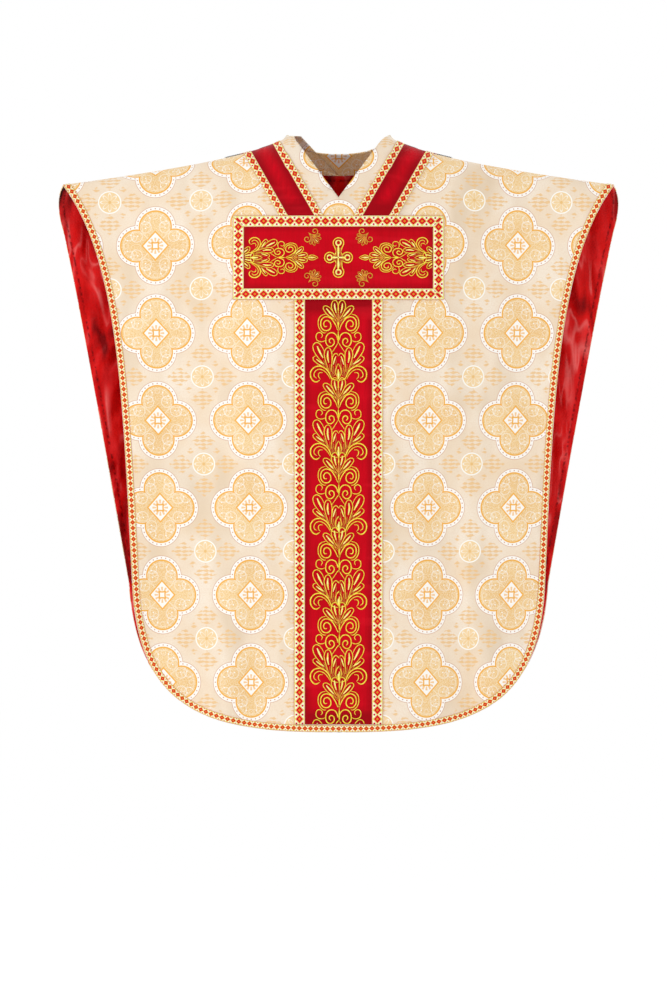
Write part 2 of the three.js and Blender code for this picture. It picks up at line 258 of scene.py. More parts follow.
# Drapes a mesh made flat, as distance across, distance down and height, over its panel. With an
# outline, each point also keeps its distance from that outline.
def drapeMesh(mesh, panel, outline=None, pucker=None):
    flat = meshPoints(mesh)
    x, down, height = flat[:, 0], flat[:, 1], flat[:, 2]
    if outline:
        z = onCloth(panel, x, down)[:, 2]
        fromEdge = np.full(len(x), 1.0)
        for edgeX, edgeZ in dense(outline, 0.003):
            fromEdge = np.minimum(fromEdge, np.hypot(x - edgeX, z - edgeZ))
        layer = mesh.attributes.new("fromEdge", "FLOAT", "POINT")
        layer.data.foreach_set("value", fromEdge)
        if pucker:
            height = height - pucker(x, z, fromEdge)
    mesh.vertices.foreach_set("co", raised(panel, x, down, height).ravel())
    mesh.update()


# The finished piece, which stands in for one node of the part
def finishPiece(node, ending, mesh, materials):
    for material in materials:
        mesh.materials.append(material)
    work = bmesh.new()
    work.from_mesh(mesh)
    bmesh.ops.recalc_face_normals(work, faces=work.faces)
    for face in work.faces:
        face.smooth = True
    work.to_mesh(mesh)
    work.free()
    piece = newObject(f"{node}_{ending}", mesh)
    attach(piece, "root")
    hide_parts(node)
    return piece


# Flat area inside an outline
def outlineArea(points):
    ends = points[1:] + points[:1]
    return abs(sum(x0 * z1 - x1 * z0 for (x0, z0), (x1, z1) in zip(points, ends))) / 2


# The hanging cloth has pulled its woven figures a little out of an even pattern
pull = {
    "hem": 0.98,  # how wide the pattern is at the hem and at the shoulders
    "shoulder": 1.03,
    "narrower": 0.05,  # and how much narrower it is on the side past the orphrey's bar
    "narrowFrom": 0.19,
    "neckLift": 0.016,
}


# Place on the woven pattern: across, and height up the cloth
def onPattern(panel, x, down):
    height = patternHeight(panel, x, down)
    nearNeck = 1 - eased(np.abs(x), 0.06, 0.42)
    lift = pull["neckLift"] * nearNeck * eased(height, -0.45, -0.18)
    across = x / blendOf(pull["hem"], pull["shoulder"], eased(height, -1.30, -0.20))
    across += pull["narrower"] * np.maximum(across - pull["narrowFrom"], 0)
    return across, height - lift


# A sheet cut to an outline given as it is seen from the front, then draped
def cutSheet(panel, name, outline, layer, material, slot, cell, pucker=None):
    low, high = layers[layer]
    edge = np.array(dense(outline))
    down = downCloth(panel, edge[:, 0], edge[:, 1])
    work = bmesh.new()
    corners = []
    for x, y in zip(edge[:, 0], down):
        if not corners or (corners[-1].co - Vector((x, y, low))).length > 1e-5:
            corners.append(work.verts.new((x, y, low)))
    if (corners[-1].co - corners[0].co).length < 1e-5:
        work.verts.remove(corners.pop())
    work.faces.new(corners)
    for axis, values in ((0, edge[:, 0]), (1, down)):
        start = math.floor(values.min() / cell) * cell
        for line in range(math.ceil((values.max() - start) / cell)):
            at, along = Vector(), Vector()
            at[axis] = start + (line + 0.5) * cell
            along[axis] = 1
            bmesh.ops.bisect_plane(
                work, geom=[*work.verts, *work.edges, *work.faces], dist=1e-6,
                plane_co=at, plane_no=along,
            )
    area = sum(face.calc_area() for face in work.faces)
    points = thicken(work, high)
    setMap(work, *onPattern(panel, points[:, 0], points[:, 1]))
    mesh = newMesh(name, work)
    drapeMesh(mesh, panel, outline if "satin" in slot else None, pucker)
    piece = finishPiece(f"{panel['name']}_{name}", "cloth", mesh, [material])
    size = (np.ptp(edge[:, 0]), np.ptp(down))
    return piece, size, area


braid = {
    "every": 0.005,  # length and number across of the cells it is made of
    "across": 4,
    "crown": 0.35,  # how much thinner its edges are than its middle
    "crownPower": 2.5,
}


# A length of braid between two edge lines. Its pattern runs along its middle.
def braidStrip(panel, name, outer, inner, layer, material, turning=False):
    low, high = layers[layer]
    outer, inner = np.array(outer), np.array(inner)
    middle = (outer + inner) / 2
    run = np.concatenate([[0], np.cumsum(np.hypot(*np.diff(middle, axis=0).T))])
    length = run[-1]
    width = outlineArea([*outer, *inner[::-1]]) / length
    parts = max(4, math.ceil(length / braid["every"]))
    work = bmesh.new()
    bmesh.ops.create_grid(work, x_segments=parts, y_segments=braid["across"], size=1)
    for vert in work.verts:
        vert.co = ((vert.co.x + 1) / 2 * length, (vert.co.y + 1) / 2, 0)
    at, share, top = thicken(work, 1).T
    sides = [
        np.stack([np.interp(at, run, line[:, 0]), np.interp(at, run, line[:, 1])], axis=-1)
        for line in (outer, inner)
    ]
    seen = sides[0] + (sides[1] - sides[0]) * share[:, None]
    if turning:
        along = at - length / 2
    else:
        heading = (middle[-1] - middle[0]) / np.hypot(*(middle[-1] - middle[0]))
        along = (seen - (middle[0] + middle[-1]) / 2) @ heading
    setMap(work, along, (share - 0.5) * width)
    crown = 1 - braid["crown"] * np.abs(2 * share - 1) ** braid["crownPower"]
    height = low + (high - low) * top * crown
    down = downCloth(panel, seen[:, 0], seen[:, 1])
    for vert in work.verts:
        i = vert.index
        vert.co = (seen[i, 0], down[i], height[i])
    mesh = newMesh(name, work)
    drapeMesh(mesh, panel)
    piece = finishPiece(f"{panel['name']}_{name}", "ribbon", mesh, [material])


# An sRGB hex value as linear colour
def linear(hexValue):
    parts = [int(hexValue[i : i + 2], 16) / 255 for i in (0, 2, 4)]
    return (*(p / 12.92 if p <= 0.04045 else ((p + 0.055) / 1.055) ** 2.4 for p in parts), 1)


# Fills a node's inputs, by name or number: a socket is linked, and any other value is set
def setInputs(node, values):
    for key, value in values.items():
        if isinstance(value, bpy.types.NodeSocket):
            node.id_data.links.new(value, node.inputs[key])
        else:
            node.inputs[key].default_value = value


# Adds a node of a kind, which may be followed by its operation. Inputs are sockets or values, in
# order or by number in a dictionary. The tree is the first socket's, unless it is given.
def add(kind, *inputs, tree=None, out=0, **settings):
    kind, *operation = kind.split()
    values = inputs[0] if inputs and isinstance(inputs[0], dict) else dict(enumerate(inputs))
    if tree is None:
        tree = next(v.id_data for v in values.values() if isinstance(v, bpy.types.NodeSocket))
    node = tree.nodes.new("ShaderNode" + kind)
    if operation:
        settings["operation"] = operation[0]
    for key, value in settings.items():
        setattr(node, key, value)
    setInputs(node, values)
    return node.outputs[out]


# A new material and its shader, with uniform values on the shader's inputs
def newMaterial(name, values):
    material = bpy.data.materials.new(name)
    material.use_nodes = True
    shader = material.node_tree.nodes["Principled BSDF"]
    setInputs(shader, values)
    return material, shader


# The same, with the piece's own map in millimetres
def startMaterial(name, values):
    material, shader = newMaterial(name, values)
    uv = add("UVMap", tree=material.node_tree, uv_map="UVMap")
    return material, shader, add("VectorMath MULTIPLY", uv, (1000, 1000, 1000))


# 1 inside a shape and 0 outside it, from a distance in millimetres
def inside(distance, edge=0.0, soft=0.7):
    return add("MapRange", distance, edge - soft / 2, edge + soft / 2, 1.0, 0.0)


# How far one value is from another
def apart(value, other):
    return add("Math ABSOLUTE", add("Math SUBTRACT", value, other))


# 1 on a line that follows a shape's edge at some distance
def onLine(distance, at, halfWidth, soft=0.7):
    return inside(apart(distance, at), halfWidth, soft)


# Soft patches of no set shape: 0 where the noise is at low, and 1 where it is at high
def mottled(place, scale, detail, low, high):
    return add("MapRange", add("TexNoise", {0: place, 2: scale, 3: detail}), low, high)


# Lays colours one over another: each has its mask and may have a share that it covers
def layered(colour, *coats):
    colour = linear(colour) if isinstance(colour, str) else colour
    for mask, over, *share in coats:
        if share:
            mask = add("Math MULTIPLY", mask, share[0])
        over = linear(over) if isinstance(over, str) else over
        colour = add("Mix", {0: mask, 6: colour, 7: over}, data_type="RGBA", out=2)
    return colour


# Distance from a point on a pattern's cell
def fromPoint(x, z, atX, atZ):
    dx = add("Math SUBTRACT", x, atX)
    dz = add("Math SUBTRACT", z, atZ)
    total = add("Math MULTIPLY_ADD", dx, dx, add("Math MULTIPLY", dz, dz))
    return add("Math POWER", total, 0.5)


# Distance outside a diamond with the given half sizes
def fromDiamond(x, z, halfX, halfZ):
    past = add("Math SUBTRACT", add("Math MULTIPLY_ADD", z, halfX / halfZ, x), halfX)
    return add("Math MULTIPLY", past, halfZ / math.hypot(halfX, halfZ))


# Offset from the nearest of a row of repeats, without its sign and with it
def folded(value, start, repeat):
    near = add("Math WRAP", add("Math SUBTRACT", value, start), repeat / 2, -repeat / 2)
    return add("Math ABSOLUTE", near), near


# Petals round a point, two for each turn of the wave: 1 along their middles and 0 between them
def petalWave(angle, turns, wave="COSINE"):
    return add("Math ABSOLUTE", add("Math " + wave, add("Math MULTIPLY", angle, turns)))


# Bump from woven threads, with creases of a broader kind, as the shader's normal. Where there is
# a raised figure, it stands a little higher.
def weave(shader, place, thread, relief, creaseSize, creaseDepth, figure=None):
    axes = add("SeparateXYZ", place).node.outputs[:2]
    waves = [add("Math SINE", add("Math MULTIPLY", axis, 2 * math.pi / thread)) for axis in axes]
    slubs = add("TexNoise", {0: place, 2: 0.9 / thread, 3: 2.0})
    height = add("Math MULTIPLY_ADD", add("Math MULTIPLY", *waves), 0.4, slubs)
    if figure is not None:
        height = add("Math MULTIPLY_ADD", figure, 2.0, height)
    fine = add("Bump", {0: 0.6, 1: relief * mm, 3: height})
    creases = add("TexNoise", {0: place, 2: 1 / creaseSize, 3: 3.0})
    normal = add("Bump", {0: 0.8, 1: creaseDepth * mm, 3: creases, 4: fine})
    setInputs(shader, {"Normal": normal})


# Figured damask: a silk-like cloth woven with gold quatrefoils on a cream ground. The figures
# are satin weave, so they shine a little more than the ground does. Sizes are in millimetres.
damaskFigure = {
    "repeatX": 187.0, "repeatZ": 183.3, "startX": 0.5, "startZ": -232.6, "taller": 0.973,
    "lobeOut": 38.5, "lobeRadius": 32.5, "outline": 1.5, "bandOut": 8.8, "dotEvery": 9.2,
    "diamondX": 26.5, "diamondZ": 29.0, "clover": 7.5, "rays": 12.5, "rayHalf": 4.0,
    "roundel": 24.0, "petalFrom": 5.5, "petalLength": 13.5,
    "leafX": 8.5, "leafZ": 2.9, "leafEvery": 14.5, "leafRow": 8.2, "sway": 14.0,
    "sprays": ((47, 0, 22), (0, 47, 22), (27, 27, 7)),  # out, up and half height
    # Inside each lobe, from the middle of the figure: out, aside and radius, and cover
    "scrolls": ((38, 19.5, 11.5, 0.5), (54, 21, 10.5, 0.5), (43, 15, 5.0, 0.4), (60, 0, 5.0, 0.3)),
    "specks": ((36, 20), (50, 22), (57, 11)),
    "thread": 1.6,  # drawn coarser than the real 0.2 mm, which would not show
    # The fourth ground colour is painted shade for the cloth's soft folds
    "ground": "EDD6B8", "groundLight": "F3E6D4", "groundShade": "E6CBAE", "paintedFoldShade": "DCC6A9",
    "fill": "F2CF90", "fillDeep": "EABE79", "fillPale": "F7E7CA",
    "gold": "F0AA22", "white": "FAF7F0", "rose": "C88B6B", "peach": "EABE80",
}


def makeDamask():
    f = damaskFigure
    material, shader, place = startMaterial(
        "figuredDamask", {"Sheen Weight": 0.05, "Sheen Roughness": 0.4})
    u, v, _ = add("SeparateXYZ", place).node.outputs
    cloud = add("TexNoise", {0: place, 2: 0.009, 3: 3.0})
    foldShadePlace = add("Mapping", {0: place, 3: (0.011, 0.0032, 1)})
    colour = layered(
        f["groundLight"],
        (add("MapRange", cloud, 0.35, 0.68), f["ground"]),
        (mottled(place, 0.35, 2.0, 0.4, 0.75), f["groundShade"], 0.45),
        # painted fold shade: long upright streaks of darker colour stand for the shade of soft folds
        (mottled(foldShadePlace, 1.0, 2.0, 0.50, 0.68), f["paintedFoldShade"], 0.7),
    )

    # Leaf crosses round each roundel, drawn as short level leaves
    rx, rxSigned = folded(u, f["startX"] + f["repeatX"] / 2, f["repeatX"])
    rz, rzSigned = folded(v, f["startZ"] + f["repeatZ"] / 2, f["repeatZ"])
    wobble = add("TexNoise", {0: place, 2: 0.10, 3: 2.0})
    sway = add("Math MULTIPLY", add("Math SUBTRACT", wobble, 0.5), f["sway"])
    leafX, _ = folded(add("Math ADD", rxSigned, sway), 0, f["leafEvery"])
    leafZ, _ = folded(add("Math MULTIPLY_ADD", sway, 0.35, rzSigned), 0, f["leafRow"])
    leaf = fromDiamond(leafX, leafZ, f["leafX"], f["leafZ"])
    leaf = inside(add("Math MULTIPLY_ADD", wobble, 2.4, leaf), 1.5, 0.8)
    for atX, atZ, size in f["sprays"]:
        spray = inside(fromDiamond(apart(rx, atX), apart(rz, atZ), size * 1.15, size), 0, 2)
        colour = layered(colour, (add("Math MULTIPLY", spray, leaf), f["peach"], 0.8))

    # Roundel with an eight-petalled daisy
    fromRoundel = fromPoint(rx, rz, 0, 0)
    petals = petalWave(add("Math ARCTAN2", rzSigned, rxSigned), 4.0)
    petals = add("Math MULTIPLY_ADD", petals, f["petalLength"], f["petalFrom"])
    petals = add("Math SUBTRACT", fromRoundel, petals)
    colour = layered(
        colour,
        (inside(fromRoundel, f["roundel"]), f["fill"], 0.75),
        (onLine(petals, -0.5, 1.3, 1.2), f["white"], 0.85),
        (onLine(fromRoundel, f["roundel"] - 1.3, 1.3), f["white"]),
        (inside(fromRoundel, 3.0), f["fillDeep"]),
    )

    # Quatrefoil: four lobes with a dotted white band round them
    qx, qxSigned = folded(u, f["startX"], f["repeatX"])
    qz, qzSigned = folded(v, f["startZ"], f["repeatZ"])
    qz = add("Math MULTIPLY", qz, f["taller"])
    far = add("Math MAXIMUM", qx, qz)
    near = add("Math MINIMUM", qx, qz)
    edge = add("Math SUBTRACT", fromPoint(far, near, f["lobeOut"], 0), f["lobeRadius"])
    dotOut = f["bandOut"] / 2 + 0.3
    lobeAngle = add("Math ARCTAN2", near, add("Math SUBTRACT", far, f["lobeOut"]))
    along = add("Math MULTIPLY", lobeAngle, f["lobeRadius"] + dotOut)
    dot = fromPoint(folded(along, 0, f["dotEvery"])[0], edge, 0, dotOut)
    colour = layered(
        colour,
        (onLine(edge, f["bandOut"], 0.8), f["rose"], 0.6),
        (inside(edge, f["bandOut"] - 0.6), f["white"]),
        (inside(dot, 1.4), f["rose"], 0.9),
    )

    # Inside the quatrefoil: scrolls and small dots in each lobe
    speckle = add("TexNoise", {0: place, 2: 0.42, 3: 3.0})
    rings = [(onLine(fromPoint(far, near, atFar, atNear), radius, 0.8, 1.0), f["white"], share)
             for atFar, atNear, radius, share in f["scrolls"]]
    specks = [(inside(fromPoint(far, near, *at), 1.5), f["white"], 0.95) for at in f["specks"]]
    filled = layered(
        f["fill"],
        (add("MapRange", cloud, 0.3, 0.7), f["fillDeep"]),
        (add("MapRange", speckle, 0.47, 0.66), f["fillPale"], 0.75),
        (add("MapRange", speckle, 0.46, 0.30), f["rose"], 0.35),
        *rings,
        *specks,
        (onLine(edge, -5.5, 0.6, 1.0), f["fillPale"], 0.8),
    )

    # White diamond in its middle, with a ring of short gold rays round a four-leaved clover
    diamond = fromDiamond(qx, qz, f["diamondX"], f["diamondZ"])
    middleOut = fromPoint(qx, qz, 0, 0)
    turn = add("Math ARCTAN2", qzSigned, qxSigned)
    rays = add("Math SUBTRACT", petalWave(turn, 6.0), 0.66)
    rays = add("Math MULTIPLY_ADD", inside(rays, 0, 0.4), -1.0, 1.0)
    rays = add("Math MULTIPLY", rays, onLine(middleOut, f["rays"], f["rayHalf"]))
    clover = add("Math MULTIPLY", petalWave(turn, 2.0, "SINE"), f["clover"])
    clover = add("Math SUBTRACT", middleOut, clover)
    filled = layered(
        filled,
        (inside(diamond), f["white"]),
        (rays, f["gold"], 0.7),
        (inside(clover, -0.5), f["gold"], 0.6),
        (onLine(diamond, 0, 1.4), f["gold"], 0.95),
    )
    figure = inside(edge)
    outline = onLine(edge, 0, f["outline"])
    colour = layered(colour, (figure, filled), (outline, f["gold"], 0.95))

    gloss = add("MapRange", figure, 0.0, 1.0, 0.60, 0.46)
    setInputs(shader, {"Base Color": colour, "Roughness": gloss})
    weave(shader, place, f["thread"], 0.25, 45, 2.2, figure)
    return material


# Woven galloon: a rayon and metal-thread ribbon with a row of diamonds, flat and slightly shiny.
# Sizes are in millimetres, along the ribbon or out from its middle.
galloon = {
    "white": "FFFAEE", "line": "E6DE1E", "red": "D40000", "gold": "E0A422",
    "dot": "C4001C", "border": "DE6F62", "thread": 1.4, "lustre": 0.2,
}
barGalloon = {
    "pitch": 18.4, "start": 9.2, "halfAlong": 9.0, "halfAcross": 8.0, "dotOut": 6.6, "dot": 2.2,
    "lineOut": 10.0, "line": 0.8, "edge": 11.1,
}
columnGalloon = {
    **barGalloon, "pitch": 18.65, "start": 5.4, "halfAcross": 7.8, "dotOut": 6.2,
    "lineOut": 9.6, "edge": 10.7,
}
strapGalloon = {
    "pitch": 14.9, "start": 0, "halfAlong": 7.2, "halfAcross": 6.2, "dotOut": 5.0, "dot": 1.6,
    "lineOut": 6.9, "line": 0.6, "edge": 7.7,
}
edgeGalloon = {
    "pitch": 11.7, "start": 0, "halfAlong": 5.5, "halfAcross": 5.0, "dotOut": 4.6, "dot": 1.2,
    "lineOut": 5.5, "line": 0.5, "edge": 6.1,
}


def makeGalloon(name, size):
    material, shader, place = startMaterial(
        name, {"Roughness": 0.55, "Specular IOR Level": galloon["lustre"]})
    x, z, _ = add("SeparateXYZ", place).node.outputs
    along, _ = folded(x, size["start"], size["pitch"])
    between, _ = folded(x, size["start"] + size["pitch"] / 2, size["pitch"])
    across = add("Math ABSOLUTE", z)
    diamonds = [
        fromDiamond(along, across, size["halfAlong"] * share, size["halfAcross"] * share)
        for share in (1, 0.31, 0.13)
    ]
    dots = fromPoint(between, across, 0, size["dotOut"])
    rim = add("Math SUBTRACT", 1.0, inside(across, size["edge"], 0.5))
    colour = layered(
        galloon["white"],
        (mottled(place, 0.5, 2.0, 0.4, 0.8), galloon["border"], 0.10),
        (onLine(diamonds[0], size["line"] * 1.3, size["line"], 0.5), galloon["line"], 0.9),
        (inside(dots, size["dot"], 0.5), galloon["dot"]),
        (inside(diamonds[0], 0, 0.5), galloon["red"]),
        (inside(diamonds[1], 0, 0.5), galloon["gold"]),
        (inside(diamonds[2], 0, 0.4), galloon["red"], 0.8),
        (onLine(across, size["lineOut"], size["line"], 0.5), galloon["line"], 0.8),
        (rim, galloon["border"]),
    )
    setInputs(shader, {"Base Color": colour})
    weave(shader, place, galloon["thread"], 0.25, 12, 0.3, inside(diamonds[0], 0, 0.8))
    return material


# Polyester satin: smooth warp threads that give a soft streaked gloss along the cloth
satin = {"lustre": 0.06, "thread": 1.2, "relief": 0.12}


def startSatin(name, roughness, light, middle, dark):
    material, shader, place = startMaterial(name, {"Specular IOR Level": satin["lustre"]})
    stretched = add("Mapping", {0: place, 3: (0.25, 0.02, 1)})
    streaks = add("TexNoise", {0: stretched, 2: 1.0, 3: 3.0})
    colour = layered(
        light,
        (mottled(place, 0.012, 2.0, 0.35, 0.65), middle),
        (add("MapRange", streaks, 0.45, 0.75), dark, 0.35),
    )
    gloss = add("MapRange", streaks, 0.3, 0.7, roughness - 0.06, roughness + 0.08)
    setInputs(shader, {"Roughness": gloss})
    fromEdge = add("Attribute", tree=material.node_tree, attribute_name="fromEdge", out=2)
    return material, shader, place, colour, add("Math MULTIPLY", fromEdge, 1 / mm)


# The orphrey's satin lies flat, and has painted shade along its hem, under the edge of the braid
def makeOrphreySatin():
    material, shader, place, colour, fromEdge = startSatin(
        "crimsonSatin", 0.42, "CC0019", "BE0013", "9E000D")
    waves = add("Mapping", {0: place, 2: (0, 0, 0.35), 3: (0.006, 0.03, 1)})
    colour = layered(
        colour,
        # painted shade: a dark band along the hem, where the edge of the braid would shade the satin
        (add("MapRange", fromEdge, 20.0, 36.0, 1.0, 0.0), "86000C", 0.7),
        # painted sheen: paler soft slanted waves for the satin's lustre
        (mottled(waves, 1.0, 2.0, 0.56, 0.72), "DA1426", 0.4),
    )
    setInputs(shader, {"Base Color": colour})
    weave(shader, place, satin["thread"], satin["relief"], 60, 1.0)
    return material


# The lining is the same satin, cut full: painted highlights lie on the ridges of its creases, and
# painted shade, deep red, lies between them. Painted shade also darkens it up at the shoulder and
# along the puckered row of stitches.
def makeLiningSatin():
    material, shader, place, colour, fromEdge = startSatin(
        "redLiningSatin", 0.3, "DE1412", "CC080A", "AC0306")
    slanted = add("Mapping", {0: place, 2: (0, 0, 0.22), 3: (0.026, 0.0065, 1)})
    crease = add("TexNoise", {0: slanted, 2: 1.0, 3: 1.5, 8: 0.8})
    ridge = apart(crease, 0.56)
    glint = (add("MapRange", ridge, 0.04, 0.0), mottled(place, 0.011, 1.0, 0.42, 0.62))
    # painted shade along the puckered row of stitches, broken up in patches
    stitchShade = (onLine(fromEdge, liningStitch / mm, 1.8, 3.0), mottled(place, 0.14, 2.0, 0.4, 0.6))
    # painted shade high up towards the shoulder, deepest in the hollows of the creases
    high = add("MapRange", add("SeparateXYZ", place, out=1), -235.0, -120.0)
    shoulder = (high, add("MapRange", crease, 0.62, 0.42))
    colour = layered(
        colour,
        # painted shade in the hollows of the creases
        (add("MapRange", crease, 0.46, 0.32), "6E0004", 0.85),
        # painted highlight along the ridges of the creases
        (add("MapRange", ridge, 0.10, 0.0), "E6282A", 0.7),
        # painted glints: brighter painted highlights in patches along the ridges
        (add("Math MULTIPLY", *glint), "F27A76", 0.6),
        # painted shade along the puckered row of stitches
        (add("Math MULTIPLY", *stitchShade), "4A0003", 0.75),
        # painted shade, nearly black, up at the shoulder
        (add("Math MULTIPLY", *shoulder), "1E0001", 0.95),
    )
    setInputs(shader, {"Base Color": colour})
    weave(shader, place, satin["thread"], satin["relief"], 18, 4.0)
    return material


# Goldwork: gilt metal thread, twisted and stitched down: bright on top, with painted shade,
# brown, in the grooves of its twist
def makeThread(name, light, deep, grooveShade, metallic):
    material, shader = newMaterial(name, {"Metallic": metallic})
    spot = add("TexCoord", tree=material.node_tree, out=3)
    twist = add("TexNoise", {0: spot, 2: 900.0, 3: 2.0})  # about a 1 mm twist
    setInputs(shader, {
        "Base Color": layered(
            deep,
            (mottled(spot, 150.0, 2.0, 0.40, 0.60), light),
            # painted shade in the grooves of the twist
            (add("MapRange", twist, 0.52, 0.72), grooveShade, 0.5),
        ),
        "Roughness": add("MapRange", twist, 0.3, 0.7, 0.25, 0.45),
        "Normal": add("Bump", {0: 0.8, 1: 0.3 * mm, 3: twist}),
    })
    return material


figuredDamask = makeDamask()
barBraid = makeGalloon("barWovenGalloon", barGalloon)
columnBraid = makeGalloon("columnWovenGalloon", columnGalloon)
strapBraid = makeGalloon("strapWovenGalloon", strapGalloon)
edgeBraid = makeGalloon("edgeWovenGalloon", edgeGalloon)
orphreySatin = makeOrphreySatin()
liningSatin = makeLiningSatin()
giltCord = makeThread("giltCord", "FFF04E", "F6D22E", "A8690E", 0.3)
darkCord = makeThread("dullGiltCord", "E8B030", "D08C1E", "9A4A10", 0.3)
# the same gilt thread made paler: painted highlight on the raised, padded fills
highlightThread = makeThread("paintedHighlightGiltThread", "FFFA9C", "FFEE60", "D09A28", 0.2)
brownThread = makeThread("shadedSilkThread", "E0901E", "C8661A", "9A3A12", 0.0)
print("materials made")


# Outlines are as they are seen from the front: across, and height
def vNeck():
    half, depth = drape["neckHalfWidth"], front["neckDepth"]
    turn = (0.76 * half, -0.16 * depth)
    return [(0, -depth), *curved([turn, (0.87 * half, -0.03 * depth), (half, 0)], 8)]


def roundNeck():
    half, depth = drape["neckHalfWidth"], back["neckDepth"]
    return curved([(0, -depth), (0.8 * half, -depth), (half, 0)], 16)


front["neck"] = vNeck()
back["neck"] = roundNeck()


# The neckline grown outwards, from the centre to the shoulder
def neckLine(panel, grow):
    half, depth = drape["neckHalfWidth"], panel["neckDepth"]
    steep = math.hypot(half, depth) / half if panel is front else 1
    wider, deeper = (half + grow) / half, (depth + grow * steep) / depth
    seamEnd = float(seamHeight(half + grow))
    return [(x * wider, z * deeper + seamEnd * (x / half) ** 3) for x, z in panel["neck"]]


# Arm end of the seam, down the side and round the hem to its middle
def sideLine(panel):
    tip, drop, length = drape["tipReach"], drape["shoulderDrop"], panel["length"]
    turnX, turnZ = panel["hemHalfWidth"], panel["hemRise"] - panel["length"]
    if panel is front:
        fall = -drop - turnZ
        side = curved([(tip, -drop), (tip - 0.125, -drop - 0.19 * fall),
                       (turnX + 0.019, turnZ + 0.42 * fall), (turnX, turnZ)], 60)
    else:
        shoulder = -drop - 0.095
        fall = shoulder - turnZ
        side = curved([(tip, -drop), (tip + 0.020, -drop - 0.030), (tip, shoulder)], 12)
        side += curved([(tip, shoulder), (tip - 0.040, shoulder - 0.24 * fall),
                        (turnX, turnZ)], 60)[1:]
    rise = panel["hemRise"]
    hem = curved([(turnX, turnZ), (0.96 * turnX, turnZ - 0.87 * rise),
                  (0.62 * turnX, -length - 0.007 * rise), (0, -length)], 50)
    return side + hem[1:]


trim = {
    "facingWidth": 0.045, "liningInset": 0.0008,
    "edgeWidth": 0.0135, "edgeInset": 0.001, "edgePast": 0.016,
    "barTop": 0.170, "barHeight": 0.176, "barHalfWidth": 0.221, "barBraid": 0.0236,
    "columnHalfWidth": 0.093, "columnBraid": 0.023,
    "strapWidth": 0.080, "strapBraid": 0.0165, "strapGap": 0.064,
    "strapLean": math.radians(29.9), "satinInset": 0.002,
}
barBottom = trim["barTop"] + trim["barHeight"]
barMiddle = -trim["barTop"] - trim["barHeight"] / 2
strapSlope = math.tan(trim["strapLean"])
strapSpan = trim["strapWidth"] / math.cos(trim["strapLean"])
strapBraidSpan = trim["strapBraid"] / math.cos(trim["strapLean"])


def panelOutline(panel, neckGrow, edgeInset):
    neck = neckLine(panel, neckGrow)
    edge = movedAside(sideLine(panel), edgeInset)
    top = drape["aboveSeam"]
    half = [*neck, (neck[-1][0], top), (edge[0][0], top), *edge]
    return [*half, *mirrored(half)[1:-1]]


def facingOutline(panel):
    inner, outer = neckLine(panel, 0), neckLine(panel, trim["facingWidth"])
    for line in (inner, outer):
        line.append((line[-1][0], drape["aboveSeam"]))
    return [*mirrored(inner), *inner[1:], *reversed(outer), *mirrored(outer)[1:]]


def rectangle(left, right, top, bottom):
    return [(left, top), (right, top), (right, bottom), (left, bottom)]


def strapBand(side, start, end):
    foot = drape["seamGap"] - trim["barTop"]
    rise = drape["aboveSeam"] - foot
    inner, outer = trim["strapGap"] / 2 + start, trim["strapGap"] / 2 + end
    return [(side * inner, foot), (side * outer, foot),
            (side * (outer + rise * strapSlope), drape["aboveSeam"]),
            (side * (inner + rise * strapSlope), drape["aboveSeam"])]


# Bottom of the column, just above the hem's braid
def columnFoot(panel):
    hem = movedAside(sideLine(panel), trim["edgeInset"] + trim["edgeWidth"])
    nextOne = next(i for i, (x, z) in enumerate(hem) if x < trim["columnHalfWidth"])
    return hem[nextOne - 1][1] + drape["seamGap"]


# Half of one column motif, in millimetres: out from the middle line and down from its top.
# Each line starts with the thread's half width at its thickest. The outline is couched cord, the
# fill is padded gilt thread inside the petals, made paler as a painted highlight, and the shade
# is brown thread between them.
cord = 0.95
palmette = {
    "outline": [
        (cord, [(1.2, 42), (10.5, 26), (14.8, 9), (7.6, 0), (0.9, 8), (1.2, 22)]),
        (cord, [(1.5, 44), (16, 36), (28, 24.5), (31.5, 13.7), (23, 12.5), (10, 26)]),
        (cord, [(26, 28.6), (38, 33.5), (42.8, 48.3), (38.5, 62), (30.3, 68.5), (26, 68)]),
        (1.25, [(1.7, 62.6), (8, 48), (20.7, 35.2), (33, 37.5), (37.4, 49.5), (34, 60),
                (25.5, 63.8), (17.5, 59.5), (16, 52), (20, 44), (26, 42.5), (30.9, 48.5),
                (28.5, 55), (24, 54.5)]),
    ],
    "fill": [
        (1.9, [(8.2, 6.5), (7.6, 15), (4.6, 26.8)]),
        (2.0, [(25.5, 17), (18, 26), (10, 35)]),
    ],
    "shade": [
        (1.1, [(0.8, 45), (3, 34), (4, 26)]),
        (1.1, [(1.5, 46), (9, 36), (13, 27)]),
        (1.1, [(1, 50), (9, 40), (18, 33)]),
    ],
}
palmetteStem = {
    "outline": [(0.9, [(0, 9), (0, 28), (0, 44)]), (1.9, [(0, 43), (0, 50), (0, 58)])],
    "shade": [(2.2, [(0, 26), (0, 36), (0, 48)])],
}
